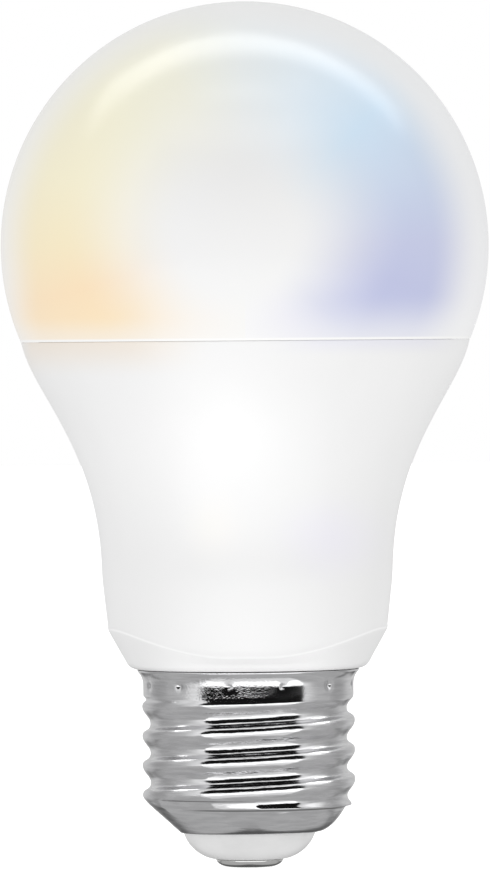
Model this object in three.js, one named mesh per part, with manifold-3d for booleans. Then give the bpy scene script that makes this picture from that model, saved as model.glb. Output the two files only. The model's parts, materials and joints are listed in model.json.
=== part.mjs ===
// A smart light bulb with a screw cap, as an assembly of separate pieces.
// Millimetres. +Z runs up the bulb's axis, and z = 0 is the flat of the centre contact.
// -Y is the front. Pieces that touch on the real bulb keep a small gap here.
import * as THREE from "three";
import { mergeVertices } from "three/addons/utils/BufferGeometryUtils.js";
import Module from "manifold-3d";

const wasm = await Module();
wasm.setup();

// Driving dimensions.
const GLOBE_R = 30; // the diffuser is part of a 60 mm sphere
const GLOBE_Z = 76.4; // height of the sphere's centre
const SEAM_Z = 64.7; // the diffuser's lip
const DIFFUSER_WALL = 1.2;
const HOUSING_WALL = 1.5;
const NECK_TOP = { r: 17.9, z: 36 }; // the flank's curve ends here and the neck begins
const NECK_TAPER = 0.11; // change of radius for each millimetre of height
const EDGE_LOW_Z = 26.15; // the housing's lower edge, at the front and back
const EDGE_RISE = 3.2; // how much higher that edge runs at the two sides
const FOOT = { r: 14.95, z: 25.2 }; // where the chamfer below the edge ends
const HOUSING_BASE_Z = 24.5;
const CAP_TOP_Z = 24.2; // rim of the screw shell, an Edison cap 26 mm wide and 24 mm long
const THREAD_R = 13.09; // crest
const THREAD_ROOT_R = 12.1;
const BAND_R = 12.95; // plain band above the thread
const THREAD_PITCH = 25.4 / 7; // seven turns to the inch
const THREAD_CREST_Z = 7.13; // height of a crest on the +X side
const ROOT_HEIGHT = 1.5; // of a root above the crest below it, so that flank is the steep one
const SHELL_BASE = { r: 8.25, z: 4.3 };
const STEP_Z = 7.42; // the thread ends here and the shell's smooth lower end begins
const RIM = { from: 22.35, flare: 0.75 };
const SHEET = 0.35; // radial thickness of the screw shell
const COLLAR = { outer: 11.4, inner: 10, z: 9.6 }; // housing's spigot inside the shell
const GAP = 0.3;

// Stack of flat pieces below the diffuser: the sink's plate, the pad, the board, the LEDs.
const SINK_Z = 60; // underside of the heat sink's plate
const SINK_PLATE = 1;
const SINK_R = 23.9;
const WINDOW_R = 12.2; // opening in the plate for the header and the radio board
const PAD_Z = SINK_Z + SINK_PLATE + GAP;
const PAD_THICKNESS = 0.4;
const BOARD_R = 23.4;
const BOARD_Z = PAD_Z + PAD_THICKNESS + GAP;
const BOARD_THICKNESS = 1.4;
const BOARD_TOP_Z = BOARD_Z + BOARD_THICKNESS;
const LED_RING_R = 18.6;
const LED_PAIRS = 8;
const SCREW_RING_R = 14.8;
const SCREW_ANGLES = [30, 150, 270];

// Upright boards inside the housing.
const DRIVER_THICKNESS = 1.6;
const DRIVER_FRONT_Y = -DRIVER_THICKNESS / 2;
const DRIVER_BACK_Y = DRIVER_THICKNESS / 2;
const HEADER_Y = -2.6; // the header stands against the driver board's front
const RADIO = { width: 17, thickness: 1, y: 6.5, bottom: 48.5, top: 71.5 };

const FINE = 40; // sides of the large round pieces
const MEDIUM = 32;
const SMALL = 20; // sides of the small round pieces

// Materials.
const plastic = (color, roughness = 0.5) =>
  new THREE.MeshStandardMaterial({ color, roughness, metalness: 0 });
const metal = (color, roughness = 0.3) =>
  new THREE.MeshStandardMaterial({ color, roughness, metalness: 1 });
const opal = plastic(0xf2f2ee, 0.35);
const white = plastic(0xf4f4f4, 0.45);
const silicone = plastic(0xe6e6e2, 0.7);
const nickel = metal(0xb4b4b6, 0.2);
const solderAlloy = metal(0xc4c4c4, 0.35);
const aluminium = metal(0xb9bcbe, 0.45);
const steel = metal(0x8e9196, 0.35);
const padGrey = plastic(0x8d96a3, 0.8);
const whiteMask = plastic(0xf0f0ec, 0.4);
const greenMask = plastic(0x1e6b3a, 0.4);
const blueMask = plastic(0x1d3f7a, 0.4);
const blackResin = plastic(0x17171a, 0.5);
const nylon = plastic(0xe9e4d2, 0.5);
const warmPhosphor = plastic(0xf0a53c, 0.4);
const coolPhosphor = plastic(0xf3dc5a, 0.4);
const capacitorSleeve = plastic(0x1b2233, 0.35);
const yellowCase = plastic(0xd8b23a, 0.4);
const blueResin = plastic(0x2a5fb0, 0.35);
const ferrite = plastic(0x3a3a3d, 0.6);
const copper = metal(0xb8713f, 0.35);
const resistorBody = plastic(0x9fb7a2, 0.5);
const redSleeve = plastic(0xb02a25, 0.5);
const blackSleeve = plastic(0x202020, 0.5);

const bulb = new THREE.Group();

function add(name, geometry, material, x = 0, y = 0, z = 0) {
  const mesh = new THREE.Mesh(geometry, material);
  mesh.name = name;
  mesh.position.set(x, y, z);
  bulb.add(mesh);
}

// A profile of [radius, height] points, counter-clockwise, turned about +Z.
function revolve(profile, sides) {
  const points = profile.map(([r, z]) => new THREE.Vector2(r, z));
  return new THREE.LatheGeometry(points, sides).rotateX(Math.PI / 2);
}

// The same, for a ring whose profile closes on itself.
const ring = (profile, sides) => revolve([...profile, profile[0]], sides);

// A flat shape in X and Z with its thickness along Y, centred on y = 0.
function upright(shape, thickness) {
  return new THREE.ExtrudeGeometry(shape, { depth: thickness, bevelEnabled: false })
    .translate(0, 0, -thickness / 2)
    .rotateX(Math.PI / 2);
}

// A box with chamfered edges, standing on z = 0.
function block(width, depth, height, chamfer = 0.2) {
  const x = width / 2 - chamfer;
  const y = depth / 2 - chamfer;
  const outline = new THREE.Shape([
    new THREE.Vector2(-x, -y),
    new THREE.Vector2(x, -y),
    new THREE.Vector2(x, y),
    new THREE.Vector2(-x, y),
  ]);
  return new THREE.ExtrudeGeometry(outline, {
    depth: height - 2 * chamfer,
    bevelThickness: chamfer,
    bevelSize: chamfer,
    bevelSegments: 1,
  }).translate(0, 0, chamfer);
}

const box = (width, depth, height, x, y, z) =>
  new THREE.BoxGeometry(width, depth, height).translate(x, y, z);

const post = (radius, height, x, y, z, sides = SMALL) =>
  new THREE.CylinderGeometry(radius, radius, height, sides)
    .rotateX(Math.PI / 2)
    .translate(x, y, z);

// Solids for joining and cutting.
function toSolid(geometry) {
  const bare = geometry.index ? geometry.toNonIndexed() : geometry.clone();
  bare.deleteAttribute("normal");
  bare.deleteAttribute("uv");
  const merged = mergeVertices(bare, 1e-4);
  return new wasm.Manifold(
    new wasm.Mesh({
      numProp: 3,
      vertProperties: merged.attributes.position.array,
      triVerts: new Uint32Array(merged.index.array),
    }),
  );
}

function toGeometry(solid) {
  const { vertProperties, triVerts } = solid.getMesh();
  return new THREE.BufferGeometry()
    .setAttribute("position", new THREE.BufferAttribute(vertProperties, 3))
    .setIndex(new THREE.BufferAttribute(triVerts, 1));
}

const join = (...geometries) =>
  toGeometry(geometries.map(toSolid).reduce((whole, next) => whole.add(next)));

const cut = (geometry, ...tools) =>
  toGeometry(tools.map(toSolid).reduce((rest, tool) => rest.subtract(tool), toSolid(geometry)));

const around = (count, step) => Array.from({ length: count }, (_, i) => step(i));
const polar = (radius, degrees) => [
  radius * Math.cos(THREE.MathUtils.degToRad(degrees)),
  radius * Math.sin(THREE.MathUtils.degToRad(degrees)),
];

// The housing's outer flank, from the seam to the neck.
const flank = new THREE.CubicBezierCurve(
  new THREE.Vector2(27.7, SEAM_Z - GAP),
  new THREE.Vector2(26.1, 58),
  new THREE.Vector2(18, 51.5),
  new THREE.Vector2(NECK_TOP.r, NECK_TOP.z),
);
const flankPoints = (inset, from, to, steps) =>
  around(steps + 1, (i) => {
    const point = flank.getPoint(from + ((to - from) * i) / steps);
    return [point.x - inset, point.y];
  });

const globePoints = (radius, fromZ, toZ, steps) => {
  const from = Math.asin((fromZ - GLOBE_Z) / radius);
  const to = Math.asin((toZ - GLOBE_Z) / radius);
  return around(steps + 1, (i) => {
    const angle = from + ((to - from) * i) / steps;
    return [radius * Math.cos(angle), GLOBE_Z + radius * Math.sin(angle)];
  });
};

// Diffuser: a thin globe, open below, with a spigot that goes into the housing.
function diffuser() {
  const outside = globePoints(GLOBE_R, SEAM_Z, GLOBE_Z + GLOBE_R, 14);
  const inner = GLOBE_R - DIFFUSER_WALL;
  const inside = globePoints(inner, SEAM_Z + 1.5, GLOBE_Z + inner, 12).reverse();
  outside[outside.length - 1][0] = 0;
  inside[0][0] = 0;
  const lip = [
    [24.3, SEAM_Z],
    [24.3, SEAM_Z - 1.8],
    [25, SEAM_Z - 1.8],
    [25.4, SEAM_Z],
  ];
  return revolve([...outside.reverse(), ...lip.reverse(), ...inside.reverse()].reverse(), FINE);
}

function diffuserSeal() {
  const bottom = SINK_Z + SINK_PLATE + 0.6;
  const top = SEAM_Z - 1.8 - GAP;
  return ring([[23.8, bottom], [24.4, bottom], [24.5, top], [23.8, top]], FINE);
}

const neckRadius = (z) => NECK_TOP.r - (NECK_TOP.z - z) * NECK_TAPER;

// Housing: a shell whose lower edge rises and falls twice round it, with a spigot
// for the screw shell and two pairs of rails that hold the driver board.
function housing() {
  const edgeMark = EDGE_LOW_Z + EDGE_RISE / 2;
  const outside = [
    [COLLAR.inner, COLLAR.z],
    [COLLAR.outer, COLLAR.z],
    [COLLAR.outer, HOUSING_BASE_Z],
    [13.9, HOUSING_BASE_Z],
    [14.4, HOUSING_BASE_Z + 0.15],
    [FOOT.r, FOOT.z],
    [neckRadius(edgeMark), edgeMark],
    [neckRadius(32), 32],
    ...flankPoints(0, 0, 1, 12).reverse(),
  ];
  const inside = [
    ...flankPoints(HOUSING_WALL, 0, 1, 7),
    [neckRadius(31.5) - HOUSING_WALL, 31.5],
    [13.4, 27.2],
    [COLLAR.inner, 26],
  ];
  inside[0][1] = SEAM_Z - GAP;
  const shell = ring([...outside, ...inside], FINE);
  const position = shell.attributes.position;
  for (let i = 0; i < position.count; i++) {
    const x = position.getX(i);
    const y = position.getY(i);
    const r = Math.hypot(x, y);
    if (Math.abs(position.getZ(i) - edgeMark) > 1e-3 || r < FOOT.r) continue;
    const turn = THREE.MathUtils.radToDeg(Math.asin(Math.min(1, Math.abs(x) / r)));
    const z = EDGE_LOW_Z + EDGE_RISE * THREE.MathUtils.smoothstep(turn, 8, 74);
    const scale = neckRadius(z) / r;
    position.setXYZ(i, x * scale, y * scale, z);
  }
  const railY = DRIVER_THICKNESS / 2 + GAP + 0.5;
  const rails = [-1, 1].flatMap((side) =>
    [-railY, railY].map((y) => box(2.4, 1, 9, side * 15.6, y, 36.8)),
  );
  return join(shell, ...rails);
}

// Heat sink: a drawn cup with a flat plate on top, a window and three screw bosses.
function heatSink() {
  const clear = HOUSING_WALL + 0.35;
  const from = 0.24;
  const to = 0.86;
  const steps = 5;
  const outside = flankPoints(clear, from, to, steps).reverse();
  const inside = flankPoints(clear + 1, from + 0.02, to, steps);
  const plateTop = SINK_Z + SINK_PLATE;
  const cup = ring(
    [
      [WINDOW_R, plateTop],
      [WINDOW_R, SINK_Z],
      [inside[0][0] - 0.4, SINK_Z],
      ...inside,
      ...outside,
      [SINK_R, SINK_Z + 0.2],
      [SINK_R, plateTop],
    ],
    MEDIUM,
  );
  const bosses = SCREW_ANGLES.map((a) => post(2.2, 6, ...polar(SCREW_RING_R, a), SINK_Z - 2.7));
  const pilots = SCREW_ANGLES.map((a) => post(1.55, 9, ...polar(SCREW_RING_R, a), SINK_Z - 2));
  return cut(join(cup, ...bosses), ...pilots);
}

// A disc on z = 0 with the given holes through it.
function disc(radius, thickness, holes) {
  const outline = new THREE.Shape().absarc(0, 0, radius, 0, 2 * Math.PI);
  outline.holes.push(...holes);
  return new THREE.ExtrudeGeometry(outline, {
    depth: thickness,
    bevelEnabled: false,
    curveSegments: FINE,
  });
}

const roundHole = (radius, x, y, sides) => {
  const corner = (i) => {
    const [dx, dy] = polar(radius, (-360 * i) / sides);
    return new THREE.Vector2(x + dx, y + dy);
  };
  return new THREE.Path(around(sides, corner));
};
const slotHole = (width, depth, y) =>
  new THREE.Path(
    [[-1, -1], [-1, 1], [1, 1], [1, -1]].map(
      ([a, b]) => new THREE.Vector2((a * width) / 2, y + (b * depth) / 2),
    ),
  );
const screwHoles = (radius) =>
  SCREW_ANGLES.map((a) => roundHole(radius, ...polar(SCREW_RING_R, a), 14));

const thermalPad = () =>
  disc(BOARD_R - 0.3, PAD_THICKNESS, [roundHole(WINDOW_R + 0.3, 0, 0, 30), ...screwHoles(1.8)]);

const ledBoard = () =>
  disc(BOARD_R, BOARD_THICKNESS, [
    slotHole(11, 1.7, HEADER_Y),
    slotHole(RADIO.width + 0.8, RADIO.thickness + 0.8, RADIO.y),
    ...screwHoles(1.6),
  ]);

// Pan-head screw, its head's underside on z = 0.
const screw = () =>
  revolve([[0, -7.6], [0.5, -7.4], [1.2, -6.4], [1.2, 0], [2.3, 0], [2.3, 0.8], [1.5, 1.4], [0, 1.5]], 16);

// Connector on the LED board: a frame round the header's pins.
const socket = () =>
  cut(block(12.4, 4.6, 4), box(10.8, 1.4, 6, 0, 0, 2));

// Header on the driver board: a strip with four pins.
const header = () =>
  join(
    block(11, 2.4, 2.6),
    ...[-3.75, -1.25, 1.25, 3.75].map((x) => box(0.64, 0.64, 9, x, 0, 4.8)),
  );

// Driver board: wide in the flank, narrower in the neck, with a tongue down into the cap.
function driverBoard() {
  const half = [[9, 11.8], [9, 26.6], [12.3, 28], [14.1, 31.5], [14.8, 44], [16, 48.5], [16, 57.3]];
  const right = half.map(([x, z]) => new THREE.Vector2(x, z));
  const left = half.map(([x, z]) => new THREE.Vector2(-x, z)).reverse();
  return upright(new THREE.Shape([...right, ...left]), DRIVER_THICKNESS);
}

// Electrolytic capacitor: a sleeved can with a crimp groove, standing on z = 0.
const canCapacitor = (r, height) =>
  revolve(
    [
      [0, 0],
      [r - 0.4, 0],
      [r, 0.5],
      [r, 1.6],
      [r - 0.4, 2.1],
      [r, 2.6],
      [r, height - 0.5],
      [r - 0.5, height],
      [0, height],
    ],
    SMALL,
  );

// Transformer: an E core with a centre leg, a bobbin on the leg and a winding on the bobbin.
const CORE = { width: 16, height: 14, depth: 5, leg: 4, window: 4, yoke: 2 };
function transformerCore() {
  const windowX = (CORE.leg + CORE.window) / 2;
  const windows = [-windowX, windowX].map((x) =>
    box(CORE.window, CORE.depth + 2, CORE.height - 2 * CORE.yoke, x, 0, 0),
  );
  return cut(box(CORE.width, CORE.depth, CORE.height, 0, 0, 0), ...windows);
}

// A rectangular tube about Z, of inner half sizes x and y.
const sleeve = (x, y, wall, height) =>
  cut(
    box(2 * (x + wall), 2 * (y + wall), height, 0, 0, 0),
    box(2 * x, 2 * y, height + 2, 0, 0, 0),
  );

const transformerBobbin = () =>
  join(
    sleeve(2.2, 2.8, 0.5, 9.2),
    sleeve(2.2, 2.8, 3, 0.6).translate(0, 0, 4.3),
    sleeve(2.2, 2.8, 3, 0.6).translate(0, 0, -4.3),
  );

// Choke: a spool standing on the driver board's front, with its winding.
const SPOOL = { r: 4.6, core: 2, height: 8.6, flange: 1.2 };
const chokeCore = () =>
  revolve(
    [
      [0, 0],
      [SPOOL.r, 0],
      [SPOOL.r, SPOOL.flange],
      [SPOOL.core, SPOOL.flange],
      [SPOOL.core, SPOOL.height - SPOOL.flange],
      [SPOOL.r, SPOOL.height - SPOOL.flange],
      [SPOOL.r, SPOOL.height],
      [0, SPOOL.height],
    ],
    SMALL,
  );
const chokeWinding = () => {
  const bottom = SPOOL.flange + GAP;
  const top = SPOOL.height - SPOOL.flange - GAP;
  const r = SPOOL.r - 0.5;
  return ring([[SPOOL.core + GAP, bottom], [r, bottom], [r, top], [SPOOL.core + GAP, top]], SMALL);
};

const roundedDisc = (r, thickness) => {
  const upper = [[r, thickness - 0.8], [r - 0.8, thickness], [0, thickness]];
  return revolve([[0, 0], [r - 0.8, 0], [r, 0.8], ...upper], SMALL);
};

// A moulded chip lying on z = 0, with legs along its two long sides.
function chip(width, depth, height, legs) {
  const body = block(width, depth, height, 0.25).translate(0, 0, 0.1);
  const pitch = width / legs;
  const pins = [-1, 1].flatMap((side) =>
    around(legs, (i) => {
      const x = (i + 0.5 - legs / 2) * pitch;
      return box(pitch * 0.35, 1.4, 0.3, x, side * (depth / 2 + 0.4), 0.45);
    }),
  );
  return join(body, ...pins);
}

// Turns a piece that lies on z = 0 so that it stands out from the driver board's front or back.
const onFront = (geometry) => geometry.rotateX(Math.PI / 2);
const onBack = (geometry) => geometry.rotateX(-Math.PI / 2);
const FRONT_SEAT = DRIVER_FRONT_Y - GAP;
const BACK_SEAT = DRIVER_BACK_Y + GAP;

const fuseResistor = () =>
  revolve([[0, 0], [1.2, 0], [1.5, 0.6], [1.3, 1.6], [1.3, 7.4], [1.5, 8.4], [1.2, 9], [0, 9]], 14);

const radioBoard = () =>
  box(RADIO.width, RADIO.thickness, RADIO.top - RADIO.bottom, 0, 0, (RADIO.top - RADIO.bottom) / 2);

// Antenna: a strip that folds back and forth near the radio board's top.
function antenna() {
  const strip = 0.7;
  const reach = 3.6;
  const step = 1.4;
  const turns = 4;
  const pieces = around(2 * turns, (i) => box(strip, 0.12, reach, (i - turns + 0.5) * step, 0, 0));
  const links = around(2 * turns - 1, (i) => {
    const z = ((i % 2 ? -1 : 1) * (reach - strip)) / 2;
    return box(step + strip, 0.12, strip, (i + 1 - turns) * step, 0, z);
  });
  return join(...pieces, ...links);
}

// A round wire along a smooth curve through the given points.
function wire(points, r = 0.5) {
  const path = new THREE.CatmullRomCurve3(points.map((p) => new THREE.Vector3(...p)));
  const section = new THREE.Shape(around(8, (i) => new THREE.Vector2(...polar(r, 45 * i))));
  return new THREE.ExtrudeGeometry(section, { steps: 12, extrudePath: path, bevelEnabled: false });
}

// Radius of the knuckle thread: rounded at crests and roots, with a steep and a long flank,
// fading into the plain band above.
function threadRadius(angle, z) {
  const turn = (z - THREAD_CREST_Z) / THREAD_PITCH - angle / (2 * Math.PI);
  const aboveCrest = (turn - Math.floor(turn)) * THREAD_PITCH;
  const fromCrest =
    aboveCrest < ROOT_HEIGHT
      ? aboveCrest / ROOT_HEIGHT
      : (THREAD_PITCH - aboveCrest) / (THREAD_PITCH - ROOT_HEIGHT);
  const drop = (THREAD_R - THREAD_ROOT_R) * THREE.MathUtils.smoothstep(fromCrest, 0, 1);
  return THREE.MathUtils.lerp(THREAD_R - drop, BAND_R, THREE.MathUtils.smoothstep(z, 20, 20.9));
}

// Radius of the shell's smooth lower end: a straight cone on -X that turns into a bowl on +X.
function lowerEndRadius(angle, z) {
  const rise = z - SHELL_BASE.z;
  const cone = SHELL_BASE.r + 0.1 + 1.1 * rise;
  const bowl = SHELL_BASE.r + 3.6 * Math.sqrt(rise / (STEP_Z - SHELL_BASE.z));
  const step = 1.5 * THREE.MathUtils.smoothstep(z, STEP_Z, STEP_Z + 0.2);
  return THREE.MathUtils.lerp(cone, bowl + step, 0.5 + 0.5 * Math.cos(angle));
}

// Screw shell: a thin rolled tube, open at both ends, with a plain band and a flared rim.
function screwShell() {
  const sides = 30;
  const lowerRows = [SHELL_BASE.z, 4.5, 4.9, 5.6, 6.5];
  const rows = [...lowerRows, ...around(23, (i) => STEP_Z + 0.61 * i), 21.4, 22.5, 23.3, 23.8, CAP_TOP_Z];
  const outer = (angle, z) => {
    const flare = RIM.flare * Math.max(0, (z - RIM.from) / (CAP_TOP_Z - RIM.from)) ** 3;
    return Math.min(lowerEndRadius(angle, z), threadRadius(angle, z)) + flare;
  };
  const vertices = [];
  const loop = [...rows.map((z) => [z, 0]), ...[...rows].reverse().map((z) => [z, SHEET])];
  for (const [z, inset] of loop) {
    for (let i = 0; i < sides; i++) {
      const angle = (2 * Math.PI * i) / sides;
      const r = outer(angle, z) - inset;
      vertices.push(r * Math.cos(angle), r * Math.sin(angle), z);
    }
  }
  const index = [];
  for (let row = 0; row < loop.length; row++) {
    const next = (row + 1) % loop.length;
    for (let i = 0; i < sides; i++) {
      const j = (i + 1) % sides;
      const [a, b, c, d] = [row * sides + i, row * sides + j, next * sides + j, next * sides + i];
      index.push(a, b, c, a, c, d);
    }
  }
  return new THREE.BufferGeometry()
    .setAttribute("position", new THREE.Float32BufferAttribute(vertices, 3))
    .setIndex(index);
}

// Base insulator: a bowl that closes the shell's lower end, flanged inside it.
function baseInsulator() {
  const bowl = new THREE.CubicBezierCurve(
    new THREE.Vector2(4.4, 1.2),
    new THREE.Vector2(6.2, 1.35),
    new THREE.Vector2(7.7, 2.7),
    new THREE.Vector2(8.1, 4),
  );
  const outside = bowl.getPoints(6).map((p) => [p.x, p.y]);
  return ring(
    [[1.5, 1.2], ...outside, [7.4, 4], [7.4, 4.9], [9.6, 6.9], [9.6, 7.6], [1.5, 7.6]],
    MEDIUM,
  );
}

// Centre contact: a shallow stud with its stem up through the insulator.
const centreContact = () =>
  revolve(
    [
      ...[[0, 0], [2.4, 0], [3.2, 0.15], [3.85, 0.5], [4.1, 0.8], [4.1, 0.9]],
      ...[[1.1, 0.9], [1.1, 8.6], [0.7, 9], [0, 9]],
    ],
    MEDIUM,
  );

add("diffuser", diffuser(), opal);
add("diffuser_seal", diffuserSeal(), silicone);
add("housing", housing(), white);
add("heat_sink", heatSink(), aluminium);
add("thermal_pad", thermalPad(), padGrey, 0, 0, PAD_Z);
add("led_board", ledBoard(), whiteMask, 0, 0, BOARD_Z);

const ledTone = { warm_led: warmPhosphor, cool_led: coolPhosphor };
Object.entries(ledTone).forEach(([tone, material], offset) => {
  for (let i = 0; i < LED_PAIRS; i++) {
    const angle = (360 * (i + (offset + 0.5) / 2)) / LED_PAIRS;
    const geometry = block(3.5, 2.8, 0.8, 0.15).rotateZ(THREE.MathUtils.degToRad(angle + 90));
    add(`${tone}_${i + 1}`, geometry, material, ...polar(LED_RING_R, angle), BOARD_TOP_Z + GAP);
  }
});

SCREW_ANGLES.forEach((angle, i) => {
  add(`board_screw_${i + 1}`, screw(), steel, ...polar(SCREW_RING_R, angle), BOARD_TOP_Z + GAP);
});

add("led_socket", socket(), nylon, 0, HEADER_Y, BOARD_TOP_Z + GAP);
add("driver_board", driverBoard(), greenMask);
add("driver_header", header(), blackResin, 0, HEADER_Y, 55);

const TRANSFORMER_Z = 47;
const TRANSFORMER_Y = -8.2;
add("transformer_core", transformerCore(), ferrite, 0, TRANSFORMER_Y, TRANSFORMER_Z);
add("transformer_bobbin", transformerBobbin(), blackResin, 0, TRANSFORMER_Y, TRANSFORMER_Z);
add("transformer_winding", sleeve(3, 3.6, 2.2, 7.4), copper, 0, TRANSFORMER_Y, TRANSFORMER_Z);

add("choke_core", onFront(chokeCore()), ferrite, 7, FRONT_SEAT, 34);
add("choke_winding", onFront(chokeWinding()), copper, 7, FRONT_SEAT, 34);
add("film_capacitor", onFront(block(9.5, 10, 5.6, 0.5)), yellowCase, -6, FRONT_SEAT, 34);
add("bulk_capacitor", canCapacitor(4, 13), capacitorSleeve, 0, -5.4, 11.8);
add("output_capacitor", canCapacitor(4, 12), capacitorSleeve, -6, 5.8, 29.5);
add("varistor", onBack(roundedDisc(3.4, 3)), blueResin, -3.6, BACK_SEAT, 17.5);
add("fuse_resistor", fuseResistor(), resistorBody, 4.5, 2.9, 13);
add("bridge_rectifier", onBack(chip(4.8, 4, 2.2, 2)), blackResin, 6, BACK_SEAT, 29.5);
add("driver_chip", onBack(chip(5, 4, 1.5, 4)), blackResin, 6, BACK_SEAT, 37);
add("warm_switch", onBack(chip(6.2, 5.6, 2.2, 2)), blackResin, 10.5, BACK_SEAT, 49.5);
add("cool_switch", onBack(chip(6.2, 5.6, 2.2, 2)), blackResin, -10.5, BACK_SEAT, 49.5);
add("output_diode", onBack(block(4.4, 3.6, 2.2)), blackResin, 0, BACK_SEAT, 44.5);

add("radio_board", radioBoard(), blueMask, 0, RADIO.y, RADIO.bottom);
const radioBackY = RADIO.y + RADIO.thickness / 2 + 0.1;
add("radio_shield", onBack(block(13, 10, 2, 0.3)), solderAlloy, 0, radioBackY, 56.5);
add("antenna_trace", antenna(), copper, 0, RADIO.y + RADIO.thickness / 2 + 0.16, 68.6);
const linkDepth = RADIO.y - RADIO.thickness / 2 - GAP - BACK_SEAT;
add("radio_header", onBack(block(10, 2.4, linkDepth)), blackResin, 0, BACK_SEAT, 52);

add(
  "live_wire",
  wire([[0, 1.9, 8.4], [0.4, 2.2, 9.8], [1.2, 1.9, 11.4], [2, 1.5, 13.6]]),
  redSleeve,
);
add(
  "neutral_wire",
  wire([[-10.9, 0, 8.7], [-9.6, 0.8, 8.7], [-8.6, 1.6, 10.4], [-8, 1.6, 13.6]]),
  blackSleeve,
);

add("screw_shell", screwShell(), nickel);
add("base_insulator", baseInsulator(), white);
add("centre_contact", centreContact(), solderAlloy);

export default bulb;
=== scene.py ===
"""Looks of the smart light bulb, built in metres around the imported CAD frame."""

import json
import math

import bpy
import numpy as np
from mathutils import Matrix, Vector


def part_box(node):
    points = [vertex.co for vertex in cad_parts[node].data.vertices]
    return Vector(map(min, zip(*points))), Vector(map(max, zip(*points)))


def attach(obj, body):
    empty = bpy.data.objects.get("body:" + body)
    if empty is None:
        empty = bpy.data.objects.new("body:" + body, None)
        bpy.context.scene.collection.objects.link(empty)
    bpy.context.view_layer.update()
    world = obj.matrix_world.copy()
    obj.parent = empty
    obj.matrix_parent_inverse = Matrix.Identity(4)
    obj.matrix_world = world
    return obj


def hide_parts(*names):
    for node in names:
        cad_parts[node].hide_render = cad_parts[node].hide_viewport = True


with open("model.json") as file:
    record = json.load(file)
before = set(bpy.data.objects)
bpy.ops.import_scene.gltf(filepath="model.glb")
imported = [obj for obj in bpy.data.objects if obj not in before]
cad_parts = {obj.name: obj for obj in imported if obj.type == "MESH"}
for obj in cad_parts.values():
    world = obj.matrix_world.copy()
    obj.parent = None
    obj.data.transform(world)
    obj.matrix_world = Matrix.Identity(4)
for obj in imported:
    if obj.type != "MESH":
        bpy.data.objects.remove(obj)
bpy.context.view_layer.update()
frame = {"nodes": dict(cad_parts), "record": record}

MM = 0.001  # the shapes below are written in millimetres

# Driving dimensions, from the frame where the frame has them.
GLOBE_R = 500 * (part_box("diffuser")[1].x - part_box("diffuser")[0].x)
GLOBE_TOP_Z = 1000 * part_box("diffuser")[1].z
GLOBE_CENTRE_DROP = 30  # the globe is the upper part of a 60 mm sphere
GLOBE_Z = GLOBE_TOP_Z - GLOBE_CENTRE_DROP
SEAM_Z = 64.7
NECK_TOP = (17.9, 36.0)
NECK_TAPER = 0.11
EDGE_LOW_Z = 26.15
EDGE_RISE = 3.2
EDGE_TURN = (8, 74)  # degrees from the front or back over which the edge rises
FOOT = (14.95, 25.2)
HOUSING_BASE_Z = 24.4
CAP_TOP_Z = 24.34
BAND_R = 12.95
THREAD_R = 13.09
THREAD_ROOT_R = 12.1
THREAD_PITCH = 25.4 / 7
THREAD_CREST_Z = 7.13
ROOT_Z = 1.5  # height of a root above the crest below it
RIM_START_Z = 22.1
RIM_FLARE = 0.95
LIP_R = 0.35  # rounding under the rim's edge
LIP_TOP_R = 0.08
BAND_BLEND = (20.3, 21.2)  # heights between which the thread fades into the plain band
BAND_FINISH = (20.2, 21.0)  # heights between which its finish changes to the band's
FLOOR_R = 4000
FLOOR_Z = -0.05


# ---------------------------------------------------------------- shapes


def arc(centre, radius, start, end, steps):
    """Points of a round corner, angles in degrees from the +radius direction."""
    angles = np.radians(np.linspace(start, end, steps + 1))
    return [(centre[0] + radius * math.cos(a), centre[1] + radius * math.sin(a)) for a in angles]


def bezier(points, steps):
    """Points of a Bezier curve of any order."""
    rows = [np.array(points, float)[None, :, :].repeat(steps + 1, 0)]
    t = np.linspace(0, 1, steps + 1)[:, None, None]
    while rows[-1].shape[1] > 1:
        p = rows[-1]
        rows.append(p[:, :-1] * (1 - t) + p[:, 1:] * t)
    return [tuple(p) for p in rows[-1][:, 0]]


def smoothstep(value, low, high):
    t = np.clip((value - low) / (high - low), 0, 1)
    return t * t * (3 - 2 * t)


def mesh_object(name, vertices, faces):
    mesh = bpy.data.meshes.new(name)
    mesh.from_pydata(vertices, [], faces)
    mesh.validate()
    mesh.shade_smooth()
    piece = bpy.data.objects.new(name, mesh)
    bpy.context.scene.collection.objects.link(piece)
    return piece


def skin(name, rings, closed):
    """A mesh from rings[row][side] of points in millimetres, counter-clockwise seen from above.
    Rows run up the outside. If closed, the last row joins the first; a row of one point is a pole."""
    vertices = []
    starts = []
    for row in rings:
        starts.append(len(vertices))
        vertices.extend(tuple(MM * c for c in p) for p in row)
    faces = []
    pairs = list(zip(range(len(rings) - 1), range(1, len(rings))))
    if closed:
        pairs.append((len(rings) - 1, 0))
    for low, high in pairs:
        a, b = rings[low], rings[high]
        sides = max(len(a), len(b))
        for i in range(sides):
            j = (i + 1) % sides
            if len(a) == 1:
                faces.append((starts[low], starts[high] + j, starts[high] + i))
            elif len(b) == 1:
                faces.append((starts[low] + i, starts[low] + j, starts[high]))
            else:
                faces.append((starts[low] + i, starts[low] + j, starts[high] + j, starts[high] + i))
    return mesh_object(name, vertices, faces)


def turned(name, profile, sides, closed=True):
    """A profile of (radius, height) turned about Z. Points with no radius are poles."""
    angles = np.linspace(0, 2 * math.pi, sides, endpoint=False)
    rings = []
    for r, z in profile:
        if r < 1e-6:
            rings.append([(0.0, 0.0, z)])
        else:
            rings.append([(r * math.cos(a), r * math.sin(a), z) for a in angles])
    return skin(name, rings, closed)


# ---------------------------------------------------------------- materials


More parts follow.
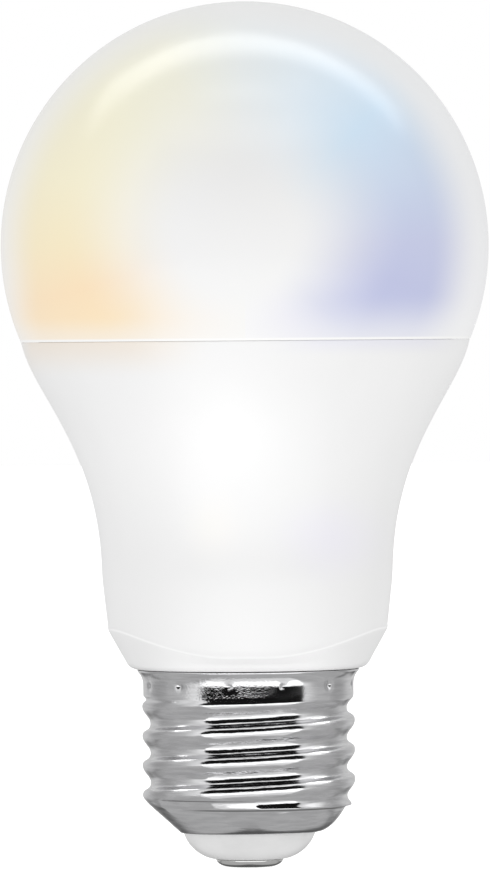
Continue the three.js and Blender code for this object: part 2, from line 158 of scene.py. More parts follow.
class Nodes:
    """Short calls for one node tree."""

    def __init__(self, tree):
        self.tree = tree

    def new(self, kind, **values):
        node = self.tree.nodes.new(kind)
        for key, value in values.items():
            setattr(node, key, value)
        return node

    def feed(self, socket, value):
        if isinstance(value, bpy.types.NodeSocket):
            self.tree.links.new(value, socket)
        else:
            socket.default_value = value

    def math(self, operation, *values):
        node = self.new("ShaderNodeMath", operation=operation)
        for socket, value in zip(node.inputs, values):
            self.feed(socket, value)
        return node.outputs[0]

    def ramp(self, value, low, high, start=0.0, end=1.0):
        """Smooth change from start to end as value goes from low to high."""
        node = self.new("ShaderNodeMapRange", interpolation_type="SMOOTHSTEP")
        sockets = ("Value", "From Min", "From Max", "To Min", "To Max")
        for key, v in zip(sockets, (value, low, high, start, end)):
            self.feed(node.inputs[key], v)
        return node.outputs["Result"]

    def window(self, value, low, high, soft_low, soft_high):
        """1 between low and high, fading to 0 over the given widths."""
        rise = self.ramp(value, low - soft_low, low + soft_low)
        fall = self.ramp(value, high - soft_high, high + soft_high, 1.0, 0.0)
        return self.math("MULTIPLY", rise, fall)

    def mix(self, factor, a, b):
        node = self.new("ShaderNodeMix", data_type="RGBA")
        self.feed(node.inputs["Factor"], factor)
        self.feed(node.inputs[6], a)
        self.feed(node.inputs[7], b)
        return node.outputs[2]

    def blend(self, factor, a, b):
        node = self.new("ShaderNodeMix", data_type="FLOAT")
        self.feed(node.inputs["Factor"], factor)
        self.feed(node.inputs["A"], a)
        self.feed(node.inputs["B"], b)
        return node.outputs["Result"]

    def noise(self, scale, detail=2.0, stretch=(1, 1, 1)):
        """Noise in the object's own coordinates, in metres."""
        place = self.new("ShaderNodeTexCoord")
        mapping = self.new("ShaderNodeMapping")
        self.feed(mapping.inputs["Vector"], place.outputs["Object"])
        mapping.inputs["Scale"].default_value = stretch
        node = self.new("ShaderNodeTexNoise")
        self.feed(node.inputs["Vector"], mapping.outputs["Vector"])
        node.inputs["Scale"].default_value = scale
        node.inputs["Detail"].default_value = detail
        return node.outputs["Fac"]

    def bump(self, height, strength, distance):
        node = self.new("ShaderNodeBump")
        self.feed(node.inputs["Height"], height)
        node.inputs["Strength"].default_value = strength
        node.inputs["Distance"].default_value = distance
        return node.outputs["Normal"]


def material(name, color, roughness, metallic=0.0):
    """A Principled material, its node helper and its shader node."""
    made = bpy.data.materials.new(name)
    made.use_nodes = True
    made.node_tree.nodes.clear()
    nodes = Nodes(made.node_tree)
    shader = nodes.new("ShaderNodeBsdfPrincipled")
    output = nodes.new("ShaderNodeOutputMaterial")
    made.node_tree.links.new(shader.outputs["BSDF"], output.inputs["Surface"])
    shader.inputs["Base Color"].default_value = (*color, 1)
    shader.inputs["Roughness"].default_value = roughness
    shader.inputs["Metallic"].default_value = metallic
    return made, nodes, shader


def object_axes(nodes):
    """Object coordinates in millimetres: x, y and z sockets."""
    place = nodes.new("ShaderNodeTexCoord")
    split = nodes.new("ShaderNodeSeparateXYZ")
    nodes.feed(split.inputs[0], place.outputs["Object"])
    return [nodes.math("MULTIPLY", split.outputs[i], 1000.0) for i in range(3)]


def turning_tone(nodes, angle, stops):
    """Colour by an angle in degrees, from (angle, colour) stops."""
    share = nodes.math("DIVIDE", nodes.math("ADD", angle, 180.0), 360.0)
    node = nodes.new("ShaderNodeValToRGB")
    nodes.feed(node.inputs[0], share)
    ramp = node.color_ramp
    ramp.elements.remove(ramp.elements[1])
    for place, color in stops:
        element = ramp.elements.new((place + 180) / 360)
        element.color = (*color, 1)
    ramp.elements.remove(ramp.elements[0])
    return node.outputs["Color"]


def soft_spot(nodes, x, z, cx, cz, rx, rz):
    """A soft round patch centred on (cx, cz), seen from front or back."""
    dx = nodes.math("DIVIDE", nodes.math("SUBTRACT", x, cx), rx)
    dz = nodes.math("DIVIDE", nodes.math("SUBTRACT", z, cz), rz)
    squared = nodes.math("ADD", nodes.math("MULTIPLY", dx, dx), nodes.math("MULTIPLY", dz, dz))
    return nodes.ramp(nodes.math("SQRT", squared), 0.0, 1.0, 1.0, 0.0)


# Painted coloured glow on the globe, standing in for warm and cool light shining through it: colours by angle
# round the front axis from straight up, positive to the right.
GLOBE_WHITE = (0.936, 0.936, 0.934)
GLOBE_GLOW_TONES = (
    (-180, (0.92, 0.90, 0.85)),
    (-150, (0.97, 0.86, 0.72)),
    (-120, (1.00, 0.81, 0.55)),
    (-105, (1.00, 0.79, 0.53)),
    (-90, (0.98, 0.86, 0.59)),
    (-70, (0.97, 0.91, 0.67)),
    (-45, (0.95, 0.92, 0.72)),
    (-22, (0.93, 0.92, 0.78)),
    (0, (0.87, 0.91, 0.91)),
    (20, (0.80, 0.89, 0.96)),
    (45, (0.64, 0.80, 0.95)),
    (65, (0.62, 0.72, 0.88)),
    (90, (0.575, 0.61, 0.82)),
    (105, (0.54, 0.57, 0.80)),
    (130, (0.56, 0.59, 0.82)),
    (150, (0.72, 0.72, 0.90)),
    (180, (0.90, 0.89, 0.92)),
)


def opal_material():
    """Milky white, with a painted coloured glow in a broad ring that is clear at its centre and white again
    at its rim, a painted shade patch high on the globe and a painted highlight along the lip.
    """
    made, nodes, shader = material("opal_plastic", GLOBE_WHITE, 0.2)
    shader.inputs["Specular IOR Level"].default_value = 0.22
    shader.inputs["Sheen Weight"].default_value = 0.5
    shader.inputs["Sheen Roughness"].default_value = 0.5
    x, _, z = object_axes(nodes)
    across = nodes.math("DIVIDE", x, GLOBE_R)
    up = nodes.math("DIVIDE", nodes.math("SUBTRACT", z, GLOBE_Z), GLOBE_R)
    squared = nodes.math("ADD", nodes.math("MULTIPLY", across, across), nodes.math("MULTIPLY", up, up))
    lean = nodes.math("MULTIPLY", nodes.math("ARCTAN2", across, up), 180 / math.pi)
    left = nodes.ramp(x, -8, 8, 1.0, 0.0)
    right = nodes.math("SUBTRACT", 1.0, left)
    outer = nodes.math("ADD", nodes.math("SQRT", squared), nodes.ramp(x, -8, 8, -0.04, 0.04))
    inner = nodes.math("ADD", outer, nodes.ramp(z, 66, 80, 0.08, 0.0))
    low_left = nodes.math("MULTIPLY", left, nodes.ramp(z, 64, 74, 0.06, 0.0))
    outer = nodes.math("SUBTRACT", outer, low_left)
    # Strength of the painted glow: a broad ring, fading at the rim and near the seam.
    weight = nodes.math("MULTIPLY", nodes.ramp(inner, 0.22, 0.72), nodes.ramp(outer, 0.79, 1.0, 1.0, 0.1))
    seam_right = nodes.math("MULTIPLY", right, nodes.ramp(z, 64.0, 70.5, 0.7, 0.0))
    seam_left = nodes.math("MULTIPLY", left, nodes.ramp(z, SEAM_Z, 68.0, 0.45, 0.0))
    near_seam = nodes.math("ADD", seam_right, seam_left)
    weight = nodes.math("MULTIPLY", weight, nodes.math("SUBTRACT", 1.0, near_seam))
    # Painted shade: a soft grey patch high on the front of the globe, standing in for the shadow of the LED
    # board inside.
    shade = nodes.math("MULTIPLY", soft_spot(nodes, x, z, 0, 88, 17, 14), 0.9)
    painted_shade_middle = nodes.mix(shade, (*GLOBE_WHITE, 1), (0.87, 0.87, 0.865, 1))
    # Painted glow: the colours of warm and cool light laid over the globe's white.
    painted_glow = nodes.mix(weight, painted_shade_middle, turning_tone(nodes, lean, GLOBE_GLOW_TONES))
    # Painted highlight: a near-white band along the lip just above the seam.
    lip = nodes.window(z, SEAM_Z, SEAM_Z + 0.3, 0.05, 0.12)
    nodes.feed(shader.inputs["Base Color"], nodes.mix(lip, painted_glow, (0.98, 0.98, 0.97, 1)))
    nodes.feed(shader.inputs["Roughness"], nodes.ramp(nodes.noise(60), 0.3, 0.7, 0.18, 0.23))
    nodes.feed(shader.inputs["Normal"], nodes.bump(nodes.noise(900, 3), 0.05, 0.0001))
    return made


def white_material():
    """Moulded white, with painted light: a warm and a cool painted glow just below the seam, painted glow and
    highlight patches on the neck, a painted highlight stripe on the lower edge and a foot painted light at
    the front and shaded at the sides.
    """
    made, nodes, shader = material("white_plastic", (0.90, 0.90, 0.90), 0.32)
    x, y, z = object_axes(nodes)
    tone = nodes.ramp(nodes.noise(40, 3), 0.3, 0.7)
    color = nodes.mix(tone, (0.89, 0.89, 0.89, 1), (0.91, 0.91, 0.91, 1))
    # Painted glow: warm light at the left and cool light at the right, as if shining through the joint below
    # the seam.
    painted_seam_glows = (
        ((-27, -9, 1, 6), 60.0, (0.90, 0.83, 0.75, 1)),
        ((6, 24, 5, 3), 62.5, (0.84, 0.84, 0.90, 1)),
    )
    for width, low, glow_tone in painted_seam_glows:
        glow = nodes.math("MULTIPLY", nodes.window(x, *width), nodes.ramp(z, low, SEAM_Z))
        color = nodes.mix(glow, color, glow_tone)
    # Painted light on the neck: a patch of cool glow right of the front and a small warm painted highlight
    # left of it.
    color = nodes.mix(soft_spot(nodes, x, z, 10, 40.5, 9, 7), color, (0.885, 0.875, 0.93, 1))
    color = nodes.mix(soft_spot(nodes, x, z, -4, 42, 5, 6), color, (0.93, 0.92, 0.90, 1))

    radius = nodes.math("SQRT", nodes.math("ADD", nodes.math("MULTIPLY", x, x), nodes.math("MULTIPLY", y, y)))
    sine = nodes.math("DIVIDE", nodes.math("ABSOLUTE", x), radius)
    turn = nodes.math("MULTIPLY", nodes.math("ARCSINE", sine), 180 / math.pi)
    edge = nodes.ramp(turn, *EDGE_TURN, EDGE_LOW_Z, EDGE_LOW_Z + EDGE_RISE)
    above_edge = nodes.math("SUBTRACT", z, edge)
    # Painted highlight: a near-white stripe along the lower edge, where the edge catches the light.
    painted_edge_highlight = nodes.window(above_edge, -0.06, 0.14, 0.08, 0.08)
    color = nodes.mix(painted_edge_highlight, color, (0.99, 0.99, 0.99, 1))
    # Painted highlight: a lighter soft patch on the front of the lower neck.
    color = nodes.mix(soft_spot(nodes, x, z, 0, 28, 16, 17), color, (0.965, 0.965, 0.965, 1))
    # Painted light and shade on the foot below the edge: lit white at the front, shaded grey towards the
    # sides.
    side_shade = nodes.ramp(nodes.math("ABSOLUTE", x), 6, 13)
    foot = nodes.mix(side_shade, (0.985, 0.985, 0.985, 1), (0.87, 0.87, 0.87, 1))
    color = nodes.mix(nodes.ramp(above_edge, -0.3, -0.1, 1.0, 0.0), color, foot)
    nodes.feed(shader.inputs["Base Color"], color)
    nodes.feed(shader.inputs["Roughness"], nodes.ramp(nodes.noise(90), 0.3, 0.7, 0.30, 0.36))
    nodes.feed(shader.inputs["Normal"], nodes.bump(nodes.noise(1500, 3), 0.08, 0.0001))
    return made


def plated_material():
    """Bright plating: drawn lines round the thread and satin sides, a fine grain on the plain band."""
    made, nodes, shader = material("plated_shell", (0.70, 0.70, 0.71), 0.09, 1.0)
    across, _, height = object_axes(nodes)
    on_thread = nodes.ramp(height, *BAND_FINISH, 1.0, 0.0)
    patches = nodes.ramp(nodes.noise(220, 1), 0.35, 0.6, 0.5, 1.0)
    patches = nodes.math("MULTIPLY", patches, nodes.ramp(across, 0, 6, 1.0, 0.2))
    patches = nodes.math("MULTIPLY", patches, nodes.ramp(height, *BAND_FINISH, 0.12, 1.0))
    grain = nodes.math("MULTIPLY", nodes.noise(6000, 2, (0.6, 0.6, 1)), patches)
    rolled = nodes.math("MULTIPLY", nodes.noise(260, 3, (1, 1, 9)), on_thread)
    wavy = nodes.math("MULTIPLY", nodes.noise(45, 1, (1, 1, 6)), nodes.math("MULTIPLY", on_thread, 3.0))
    bumps = nodes.math("ADD", grain, nodes.math("ADD", rolled, wavy))
    nodes.feed(shader.inputs["Normal"], nodes.bump(bumps, 0.30, 0.0001))
    satin = nodes.ramp(nodes.math("ABSOLUTE", across), 5.5, 8.5, 0.0, 0.12)
    satin = nodes.math("MULTIPLY", satin, on_thread)
    gloss = nodes.ramp(nodes.noise(300, 2, (1, 1, 3)), 0.3, 0.7, 0.06, 0.13)
    nodes.feed(shader.inputs["Roughness"], nodes.math("ADD", gloss, satin))
    tone = nodes.ramp(nodes.noise(260, 3, (1, 1, 9)), 0.35, 0.65)
    plating = nodes.mix(tone, (0.64, 0.64, 0.65, 1), (0.73, 0.73, 0.74, 1))
    # Painted shade: a dark line in the groove at the step where the thread ends, on the left.
    crease_shade = nodes.window(height, STEP_Z - 0.12, STEP_Z + 0.05, 0.05, 0.05)
    crease_shade = nodes.math("MULTIPLY", crease_shade, nodes.ramp(across, -8.5, -4.5))
    nodes.feed(shader.inputs["Base Color"], nodes.mix(crease_shade, plating, (0.24, 0.24, 0.24, 1)))
    return made


def insulator_material():
    made, nodes, shader = material("insulator_plastic", (0.73, 0.73, 0.73), 0.25)
    tone = nodes.ramp(nodes.noise(250, 3), 0.3, 0.7)
    nodes.feed(shader.inputs["Base Color"], nodes.mix(tone, (0.71, 0.71, 0.71, 1), (0.75, 0.75, 0.75, 1)))
    nodes.feed(shader.inputs["Normal"], nodes.bump(nodes.noise(1800, 3), 0.1, 0.0001))
    return made


def contact_material():
    made, nodes, shader = material("contact_metal", (0.72, 0.72, 0.71), 0.2, 1.0)
    nodes.feed(shader.inputs["Normal"], nodes.bump(nodes.noise(500, 2), 0.15, 0.0002))
    nodes.feed(shader.inputs["Roughness"], nodes.ramp(nodes.noise(500, 2), 0.3, 0.7, 0.08, 0.18))
    return made


WOUND = ("copper_wire",)
BARE_METALS = ("chrome", "aluminium", "brushed_steel", "brass")
# Finishes of the pieces inside: noise scale and stretch, bump strength, how far colour and roughness vary.
INNER_FINISH = {
    "wound": (900, (0.2, 0.2, 6), 0.8, 0.30, 0.10),
    "metal": (700, (1, 1, 4), 0.2, 0.10, 0.08),
    "rubber": (1500, (1, 1, 1), 0.4, 0.08, 0.06),
    "plastic": (1200, (1, 1, 1), 0.15, 0.08, 0.05),
}


def inner_material(entry):
    """A finish for a slot of the record: its colour, uneven as wound wire, metal, rubber or plastic is."""
    metallic = 1.0 if entry["class"] in BARE_METALS else 0.0
    family = "metal" if metallic else "rubber" if entry["class"] == "rubber" else "plastic"
    if entry["slot"] in WOUND:
        family = "wound"
    scale, stretch, strength, vary, rough_vary = INNER_FINISH[family]
    rough = 0.3 if metallic else 0.65 if family == "rubber" else 0.45
    color = entry["base_color"][:3]
    made, nodes, shader = material(entry["slot"], color, rough, metallic)
    texture = nodes.noise(scale, 3, stretch)
    share = nodes.ramp(texture, 0.3, 0.7)
    dark = (*[c * (1 - vary) for c in color], 1)
    light = (*[min(1.0, c * (1 + vary / 2)) for c in color], 1)
    nodes.feed(shader.inputs["Base Color"], nodes.mix(share, dark, light))
    uneven = nodes.ramp(texture, 0.3, 0.7, rough - rough_vary, rough + rough_vary)
    nodes.feed(shader.inputs["Roughness"], uneven)
    nodes.feed(shader.inputs["Normal"], nodes.bump(texture, strength, 0.0001))
    return made


def finish_inner_pieces():
    """Every CAD node that still shows takes the finish of its slot."""
    entries = {m["slot"]: m for m in frame["record"]["materials"]}
    made = {}
    for part in frame["record"]["subparts"]:
        node = frame["nodes"][part["node"]]
        slot = part["material_slot"]
        if node.hide_render:
            continue
        if slot not in made:
            made[slot] = inner_material(entries[slot])
        node.data.materials.clear()
        node.data.materials.append(made[slot])


# ---------------------------------------------------------------- pieces


def fitted(piece, node, look):
    """The piece rides on the one body, stands for its CAD node and takes its finish."""
    piece.data.materials.append(look)
    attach(piece, "root")
    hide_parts(node)


FLANK = ((27.55, SEAM_Z - 0.12), (26.1, 58.0), (18.0, 51.5), NECK_TOP)
ROUND_SIDES = 240  # sides of the globe and of the housing
HOUSING_WALL = 1.5


def diffuser():
    wall = 1.2
    lip = 0.1
    lip_angle = math.degrees(math.asin((SEAM_Z + lip - GLOBE_Z) / GLOBE_R))
    lip_r = math.sqrt(GLOBE_R**2 - (SEAM_Z + lip - GLOBE_Z) ** 2)
    inner = GLOBE_R - wall
    inner_angle = math.degrees(math.asin((SEAM_Z + 1.5 - GLOBE_Z) / inner))
    profile = [
        (24.4, SEAM_Z - 1.7),
        (24.9, SEAM_Z - 1.8),
        (25.2, SEAM_Z - 1.5),
        (25.4, SEAM_Z),
        *arc((lip_r - lip, SEAM_Z + lip), lip, -90, lip_angle / 2, 6),
        *arc((0, GLOBE_Z), GLOBE_R, lip_angle + 0.4, 90, 110),
        *arc((0, GLOBE_Z), inner, 90, inner_angle, 60),
        (24.4, SEAM_Z + 0.4),
    ]
    cleaned = [(0.0 if r < 1e-6 else r, z) for r, z in profile]
    return turned("diffuser_globe", cleaned, ROUND_SIDES)


def neck_radius(z):
    return NECK_TOP[0] - (NECK_TOP[1] - z) * NECK_TAPER


def edge_height(angle):
    """Height of the housing's lower edge. The angle is from +X, so the front is at -90 degrees."""
    turn = math.degrees(abs(math.asin(min(1.0, abs(math.cos(angle))))))
    return EDGE_LOW_Z + EDGE_RISE * float(smoothstep(turn, *EDGE_TURN))


def housing():
    """The flank and neck as one surface, down to a lower edge whose height changes round it."""
    flank = bezier(FLANK, 48)[::-1]
    top = [*arc((27.55 - 0.08, SEAM_Z - 0.1), 0.08, 10, 90, 4), (25.9, SEAM_Z - 0.02)]
    inside = [(r - HOUSING_WALL, z) for r, z in bezier(FLANK, 16)[1:]]
    inside = [*inside, (neck_radius(31.5) - HOUSING_WALL, 31.5), (13.4, 27.2), (10.0, 26.0)]
    base = [(10.0, 9.6), (11.3, 9.6), (11.3, HOUSING_BASE_Z), (13.7, HOUSING_BASE_Z)]
    fillet = 0.35
    neck_low = NECK_TOP[1] - 0.6
    shares = np.linspace(0, 1, 7)[1:-1]
    columns = []
    for i in range(ROUND_SIDES):
        angle = 2 * math.pi * i / ROUND_SIDES
        z = edge_height(angle)
        edge = (neck_radius(z) + 0.1, z)
        down = np.array(FOOT) - np.array(edge)
        down = down / np.linalg.norm(down)
        below = tuple(np.array(edge) + fillet * down)
        above = (neck_radius(z + fillet), z + fillet)
        foot_top = tuple(np.array(FOOT) - 0.25 * down)
        foot = bezier((foot_top, (14.75, 24.75), (14.3, 24.45), (13.7, HOUSING_BASE_Z)), 8)
        chamfer = [tuple(np.array(below) * (1 - t) + np.array(foot[0]) * t) for t in shares]
        neck = [(neck_radius(h), h) for h in np.linspace(above[1], neck_low, 14)]
        profile = [
            *base,
            *foot[::-1],
            *chamfer[::-1],
            *bezier((below, edge, above), 6),
            *neck[1:],
            *flank[1:],
            *top,
            *inside,
        ]
        columns.append([(r * math.cos(angle), r * math.sin(angle), h) for r, h in profile])
    rings = [list(row) for row in zip(*columns)]
    return skin("housing_shell", rings, closed=True)


def thread_profile():
    """Heights above a crest and radii there: the steep flank up to the root, then the long one out."""
    crest, root = THREAD_R, THREAD_ROOT_R
    top = THREAD_PITCH
    steep = bezier(((0, crest), (0.9, crest), (ROOT_Z - 1.0, root), (ROOT_Z, root)), 24)
    gentle = bezier(((ROOT_Z, root), (ROOT_Z + 0.8, root), (top - 0.9, crest), (top, crest)), 24)
    return np.array(steep + gentle[1:])


THREAD_PROFILE = thread_profile()


def thread_radius(angle, z):
    turn = (z - THREAD_CREST_Z) / THREAD_PITCH - angle / (2 * math.pi)
    above_crest = (turn - np.floor(turn)) * THREAD_PITCH
    return np.interp(above_crest, THREAD_PROFILE[:, 0], THREAD_PROFILE[:, 1])


def smooth_min(a, b, width):
    """The lesser of a and b, rounded over where they cross."""
    h = np.clip(0.5 + 0.5 * (b - a) / width, 0, 1)
    return b * (1 - h) + a * h - width * h * (1 - h)


DIMPLES = 12
DIMPLE_START = 19.5  # degrees from the front
DIMPLE_Z = 22.5
BASE_Z = 4.3  # the shell's lower edge
BASE_R = 8.3
STEP_Z = 7.42  # the last turn of the thread ends here
THREAD_END_R = 12.5
THREAD_END = (6.9, 8.9)  # heights between which the thread fades in from that radius
BOWL_SWELL = 3.6  # growth in radius from the lower edge to the step, on the right
CONE_SLOPE = 1.1  # growth in radius with height above the lower edge, on the left
GROOVE = 0.12  # depth and width of the groove at the step
CLEAR = 1.5  # moves a limit outwards where it should not act
DENTS = ((0.18, 0.6), (0.15, 0.3))  # depth and width of the two dents that make a stake mark


def shell_radius(angle, z):
    """Outer radius of the screw shell: a smooth lower end, the thread, the plain band, the flared rim."""
    into_band = smoothstep(z, *BAND_BLEND)
    body = thread_radius(angle, z) * (1 - into_band) + BAND_R * into_band
    body = THREAD_END_R + (body - THREAD_END_R) * smoothstep(z, *THREAD_END)
    to_right = 0.5 + 0.5 * np.cos(angle)
    rise = (z - BASE_Z) / (STEP_Z - BASE_Z)
    bowl = BASE_R + BOWL_SWELL * np.sqrt(np.clip(rise, 0, None))
    cone = BASE_R + 0.2 + CONE_SLOPE * (z - BASE_Z)
    above_step = CLEAR * to_right * smoothstep(z, STEP_Z, STEP_Z + 0.2)
    lower = bowl * to_right + cone * (1 - to_right) + above_step
    body = smooth_min(body, lower, 0.2)
    slope = 0.2 + 1.2 * np.clip(0.5 - to_right, 0, None)
    lifted = smoothstep(to_right, 0.5, 0.68) + smoothstep(to_right, 0.1, 0.02) + smoothstep(z, 8.4, 9.0)
    runout = THREAD_ROOT_R + 0.1 - slope * (8.3 - z) + CLEAR * lifted
    body = smooth_min(body, runout, 0.1)
    body = body - GROOVE * smoothstep(to_right, 0.1, 0.35) * np.exp(-(((z - STEP_Z) / GROOVE) ** 2))
    for i in range(DIMPLES):
        centre = math.radians(DIMPLE_START + i * 360 / DIMPLES - 90)
        around = (np.mod(angle - centre + math.pi, 2 * math.pi) - math.pi) * BAND_R
        distance = np.hypot(around, z - DIMPLE_Z)
        for depth, width in DENTS:
            body = body - depth * np.exp(-((distance / width) ** 2))
    return body + RIM_FLARE * np.clip((z - RIM_START_Z) / (CAP_TOP_Z - RIM_START_Z), 0, 1) ** 3


def screw_shell():
    sides = 432
    sheet = 0.3
    angles = np.linspace(0, 2 * math.pi, sides, endpoint=False)
    lean = 45  # degrees that the flare leans out where the rounded lip starts
    lip_z = CAP_TOP_Z - LIP_TOP_R - LIP_R * math.sin(math.radians(lean))
    low = BASE_Z + (STEP_Z - BASE_Z) * np.linspace(0, 1, 22) ** 2
    heights = np.concatenate([low, np.linspace(STEP_Z, 21.0, 110)[1:], np.linspace(21.0, lip_z, 34)[1:]])
    rings = []

    def ring(radii, z):
        rings.append([(r * math.cos(a), r * math.sin(a), z) for a, r in zip(angles, radii)])

    ring(np.full(sides, 7.7), BASE_Z + 0.25)
    ring(np.full(sides, 7.75), BASE_Z)
    for z in heights:
        ring(shell_radius(angles, z), z)
    lip = float(shell_radius(0.0, lip_z)) - LIP_R * math.cos(math.radians(lean))
    edge_z = CAP_TOP_Z - LIP_TOP_R
    under = arc((lip, edge_z), LIP_R, -lean, 0, 8)
    over = arc((lip + LIP_R - LIP_TOP_R, edge_z), LIP_TOP_R, 0, 90, 4)
    for r, z in under[1:] + over[1:]:
        ring(np.full(sides, r), z)
    for r, z in [(13.0, CAP_TOP_Z), (12.8, 23.9), (12.5, 23.2)]:
        ring(np.full(sides, r), z)
    for z in heights[::-4]:
        if 5 < z < 23:
            ring(np.minimum(shell_radius(angles, z) - sheet, 12.5), z)
    return skin("screw_shell_plated", rings, closed=True)


def base_insulator():
    bowl = bezier(((4.3, 1.0), (6.2, 1.25), (7.75, 2.75), (8.15, 4.4)), 24)
    profile = [(1.4, 1.3), (3.9, 1.3), (3.95, 1.05), *bowl, (7.7, 4.8), (9.4, 6.5), (9.5, 7.5), (1.4, 7.5)]
    return turned("base_insulator_bowl", profile, 128)


def centre_contact():
    rim = bezier(((2.0, 0.0), (3.3, 0.0), (3.85, 0.3), (4.15, 0.87)), 12)
    profile = [
        (0.0, 0.0),
        (1.2, 0.0),
        *rim,
        *arc((4.05, 0.87), 0.1, 0, 90, 3)[1:],
        (1.1, 0.97),
        (1.0, 8.7),
        (0.7, 9.0),
        (0.0, 9.0),
    ]
    return turned("centre_contact_stud", profile, 96, closed=False)


# ---------------------------------------------------------------- studio


def studio_world():
    """White behind the object. Reflections see a grey room with a dark panel in front, bright windows
    above and below it, soft windows high at both sides, and curved softboxes overhead.
    Diffuse light is nearly even, and brightest from straight below."""
    world = bpy.data.worlds.new("studio")
    bpy.context.scene.world = world
    world.use_nodes = True
    world.cycles.sampling_method = "NONE"
    world.node_tree.nodes.clear()
    nodes = Nodes(world.node_tree)
    place = nodes.new("ShaderNodeTexCoord")
    split = nodes.new("ShaderNodeSeparateXYZ")
    nodes.feed(split.inputs[0], place.outputs["Generated"])
    x, y, z = split.outputs
    front = nodes.math("MULTIPLY", y, -1.0)
    degrees = 180 / math.pi
    azimuth = nodes.math("MULTIPLY", nodes.math("ARCTAN2", x, front), degrees)
    elevation = nodes.math("MULTIPLY", nodes.math("ARCSINE", z), degrees)
    away = nodes.math("ABSOLUTE", azimuth)

    room = nodes.ramp(away, 56, 84, 1.05, 0.56)
    room = nodes.math("ADD", room, nodes.ramp(away, 90, 114, 0.0, -0.13))
    room = nodes.math("ADD", room, nodes.ramp(away, 120, 146, 0.0, 0.24))
    room = nodes.blend(nodes.ramp(elevation, -30, -12), 0.5, room)
    behind = nodes.math("MULTIPLY", nodes.ramp(away, 145, 165), nodes.window(elevation, -80, -13, 8, 3))
    room = nodes.blend(behind, room, 0.12)
    strip = nodes.math("MULTIPLY", nodes.ramp(away, 110, 130), nodes.window(elevation, -28, -24, 3, 3))
    room = nodes.blend(nodes.math("MULTIPLY", strip, 0.8), room, 0.12)
    room = nodes.blend(nodes.ramp(elevation, 58, 66), room, 0.04)

    # Soft windows high at both sides, the right one brighter.
    beside = nodes.window(away, 72, 96, 12, 12)
    beside = nodes.math("MULTIPLY", beside, nodes.window(elevation, 18, 80, 10, 8))
    room = nodes.blend(beside, room, nodes.ramp(azimuth, -10, 10, 0.9, 1.5))

    in_front = nodes.window(azimuth, -53.5, 63, 1.5, 1.5)
    low = nodes.window(elevation, -58, -9, 6, 2)
    window = nodes.ramp(elevation, -40, -33, 0.95, 1.7)
    high = nodes.window(elevation, 46, 60, 2, 2)
    dark = nodes.window(elevation, -9, 46, 2, 2)
    room = nodes.blend(nodes.math("MULTIPLY", in_front, dark), room, 0.01)
    room = nodes.blend(nodes.math("MULTIPLY", in_front, low), room, window)
    room = nodes.blend(nodes.math("MULTIPLY", in_front, high), room, 1.4)

    # Overhead softboxes, by angle from the front and angle round the front axis from straight up.
    from_front = nodes.math("MULTIPLY", nodes.math("ARCCOSINE", front), degrees)
    lean = nodes.math("MULTIPLY", nodes.math("ARCTAN2", x, z), degrees)
    right = nodes.math("MULTIPLY", nodes.math("MAXIMUM", lean, 0.0), -0.13)
    width = nodes.math("MULTIPLY", nodes.math("ADD", right, 19.0), nodes.ramp(lean, 46, 61, 1.0, 0.0))
    inner = nodes.ramp(from_front, 98, 106)
    for left_start, left_full, strength in ((-62, -36, 3.6), (-50, -14, 1.8)):
        wide = nodes.math("MULTIPLY", width, nodes.ramp(lean, left_start, left_full))
        beyond = nodes.math("SUBTRACT", from_front, nodes.math("ADD", wide, 99.0))
        arch = nodes.math("MULTIPLY", inner, nodes.ramp(beyond, -1.0, 1.0, strength, 0.0))
        room = nodes.math("ADD", room, arch)
    crescent = nodes.window(from_front, 73, 82, 3, 1.5)
    crescent = nodes.math("MULTIPLY", crescent, nodes.window(lean, -18, 18, 10, 10))
    room = nodes.math("ADD", room, nodes.math("MULTIPLY", crescent, 2.2))

    painted = nodes.new("ShaderNodeBackground")
    nodes.feed(painted.inputs["Strength"], room)
    soft = nodes.new("ShaderNodeBackground")
    even = nodes.math("SUBTRACT", 0.89, nodes.math("MULTIPLY", z, 0.10))
    nodes.feed(soft.inputs["Strength"], nodes.math("ADD", even, nodes.ramp(elevation, -90, -35, 0.18, 0.0)))
    white = nodes.new("ShaderNodeBackground")
    for shader in (painted, soft, white):
        shader.inputs["Color"].default_value = (1, 1, 1, 1)
    path = nodes.new("ShaderNodeLightPath")
    indirect = nodes.new("ShaderNodeMixShader")
    nodes.feed(indirect.inputs[0], path.outputs["Is Diffuse Ray"])
    nodes.feed(indirect.inputs[1], painted.outputs[0])
    nodes.feed(indirect.inputs[2], soft.outputs[0])
    choose = nodes.new("ShaderNodeMixShader")
    nodes.feed(choose.inputs[0], path.outputs["Is Camera Ray"])
    nodes.feed(choose.inputs[1], indirect.outputs[0])
    nodes.feed(choose.inputs[2], white.outputs[0])
    output = nodes.new("ShaderNodeOutputWorld")
    nodes.feed(output.inputs["Surface"], choose.outputs[0])


def softbox(name, centre, size, radiance):
    """A soft rectangular light facing the bulb, for diffuse light only."""
    light = bpy.data.lights.new(name, "AREA")
    light.shape = "RECTANGLE"
    light.size, light.size_y = size
    light.energy = radiance * size[0] * size[1] * math.pi
    lamp = bpy.data.objects.new(name, light)
    aim = Vector((0, 0, 0.06)) - Vector(centre)
    lamp.location = centre
    lamp.rotation_euler = aim.to_track_quat("-Z", "Y").to_euler()
    lamp.visible_glossy = False
    lamp.visible_camera = False
    bpy.context.scene.collection.objects.link(lamp)


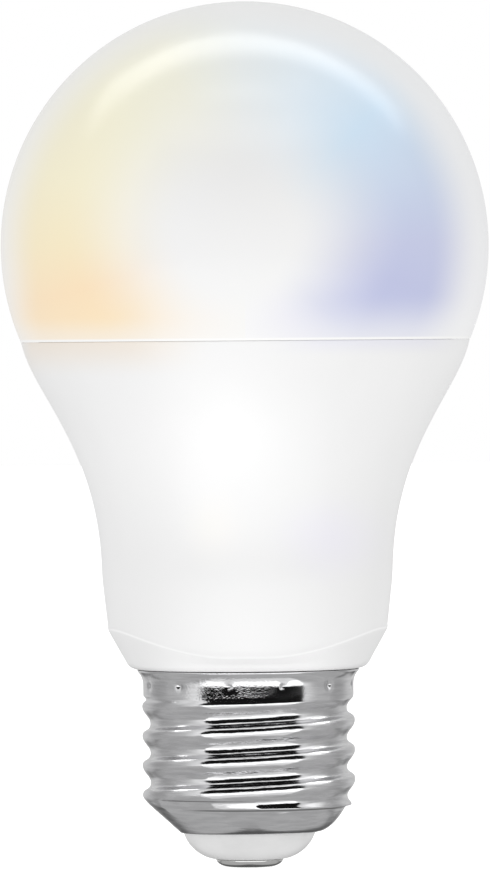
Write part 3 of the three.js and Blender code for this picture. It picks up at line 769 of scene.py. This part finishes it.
def flank_spot():
    """A narrow soft spot on the front of the housing's flank, for diffuse light only."""
    light = bpy.data.lights.new("flank_spot", "SPOT")
    light.spot_size = math.radians(1.45)
    light.spot_blend = 1.0
    light.shadow_soft_size = 0.01
    light.energy = 7.8
    lamp = bpy.data.objects.new("flank_spot", light)
    lamp.location = (-0.03, -0.9, 0.03)
    aim = Vector((-0.002, -0.02, 0.0532)) - lamp.location
    lamp.rotation_euler = aim.to_track_quat("-Z", "Y").to_euler()
    lamp.visible_glossy = False
    bpy.context.scene.collection.objects.link(lamp)


def camera():
    """Level with the seam, aimed a little down, turned by half a degree."""
    distance = 1.236
    aim_down = 0.535
    lens = bpy.data.cameras.new("camera")
    lens.sensor_width = 36
    lens.lens = 416.4
    lens.clip_end = 100
    eye = bpy.data.objects.new("camera", lens)
    bpy.context.scene.collection.objects.link(eye)
    eye.location = (-0.00015, -distance, SEAM_Z * MM)
    pitch = math.radians(90 - aim_down)
    roll = math.radians(-0.48)
    aim = Matrix.Rotation(pitch, 4, "X") @ Matrix.Rotation(roll, 4, "Z")
    eye.matrix_world = Matrix.Translation(eye.location) @ aim
    bpy.context.scene.camera = eye


def floor():
    """A plain pale round floor under the tip."""
    made, nodes, shader = material("pale_floor", (0.9, 0.9, 0.9), 0.9)
    tone = nodes.ramp(nodes.noise(8, 2), 0.3, 0.7)
    nodes.feed(shader.inputs["Base Color"], nodes.mix(tone, (0.89, 0.89, 0.89, 1), (0.91, 0.91, 0.91, 1)))
    shader.inputs["Emission Color"].default_value = (1, 1, 1, 1)
    shader.inputs["Emission Strength"].default_value = 0.7
    sides = 96
    angles = np.linspace(0, 2 * math.pi, sides, endpoint=False)
    ring = [(FLOOR_R * math.cos(a), FLOOR_R * math.sin(a), FLOOR_Z) for a in angles]
    piece = skin("floor", [ring, [(0.0, 0.0, FLOOR_Z)]], closed=False)
    piece.data.materials.append(made)
    piece.visible_glossy = False
    piece.visible_diffuse = False


# ---------------------------------------------------------------- assembly

camera()
studio_world()
floor()

fitted(diffuser(), "diffuser", opal_material())
fitted(housing(), "housing", white_material())
fitted(screw_shell(), "screw_shell", plated_material())
fitted(base_insulator(), "base_insulator", insulator_material())
fitted(centre_contact(), "centre_contact", contact_material())
finish_inner_pieces()

softbox("front_softbox", (-0.15, -1.3, 0.05), (0.9, 1.2), 0.69)
flank_spot()

scene = bpy.context.scene
scene.view_settings.view_transform = "Standard"
scene.view_settings.look = "None"
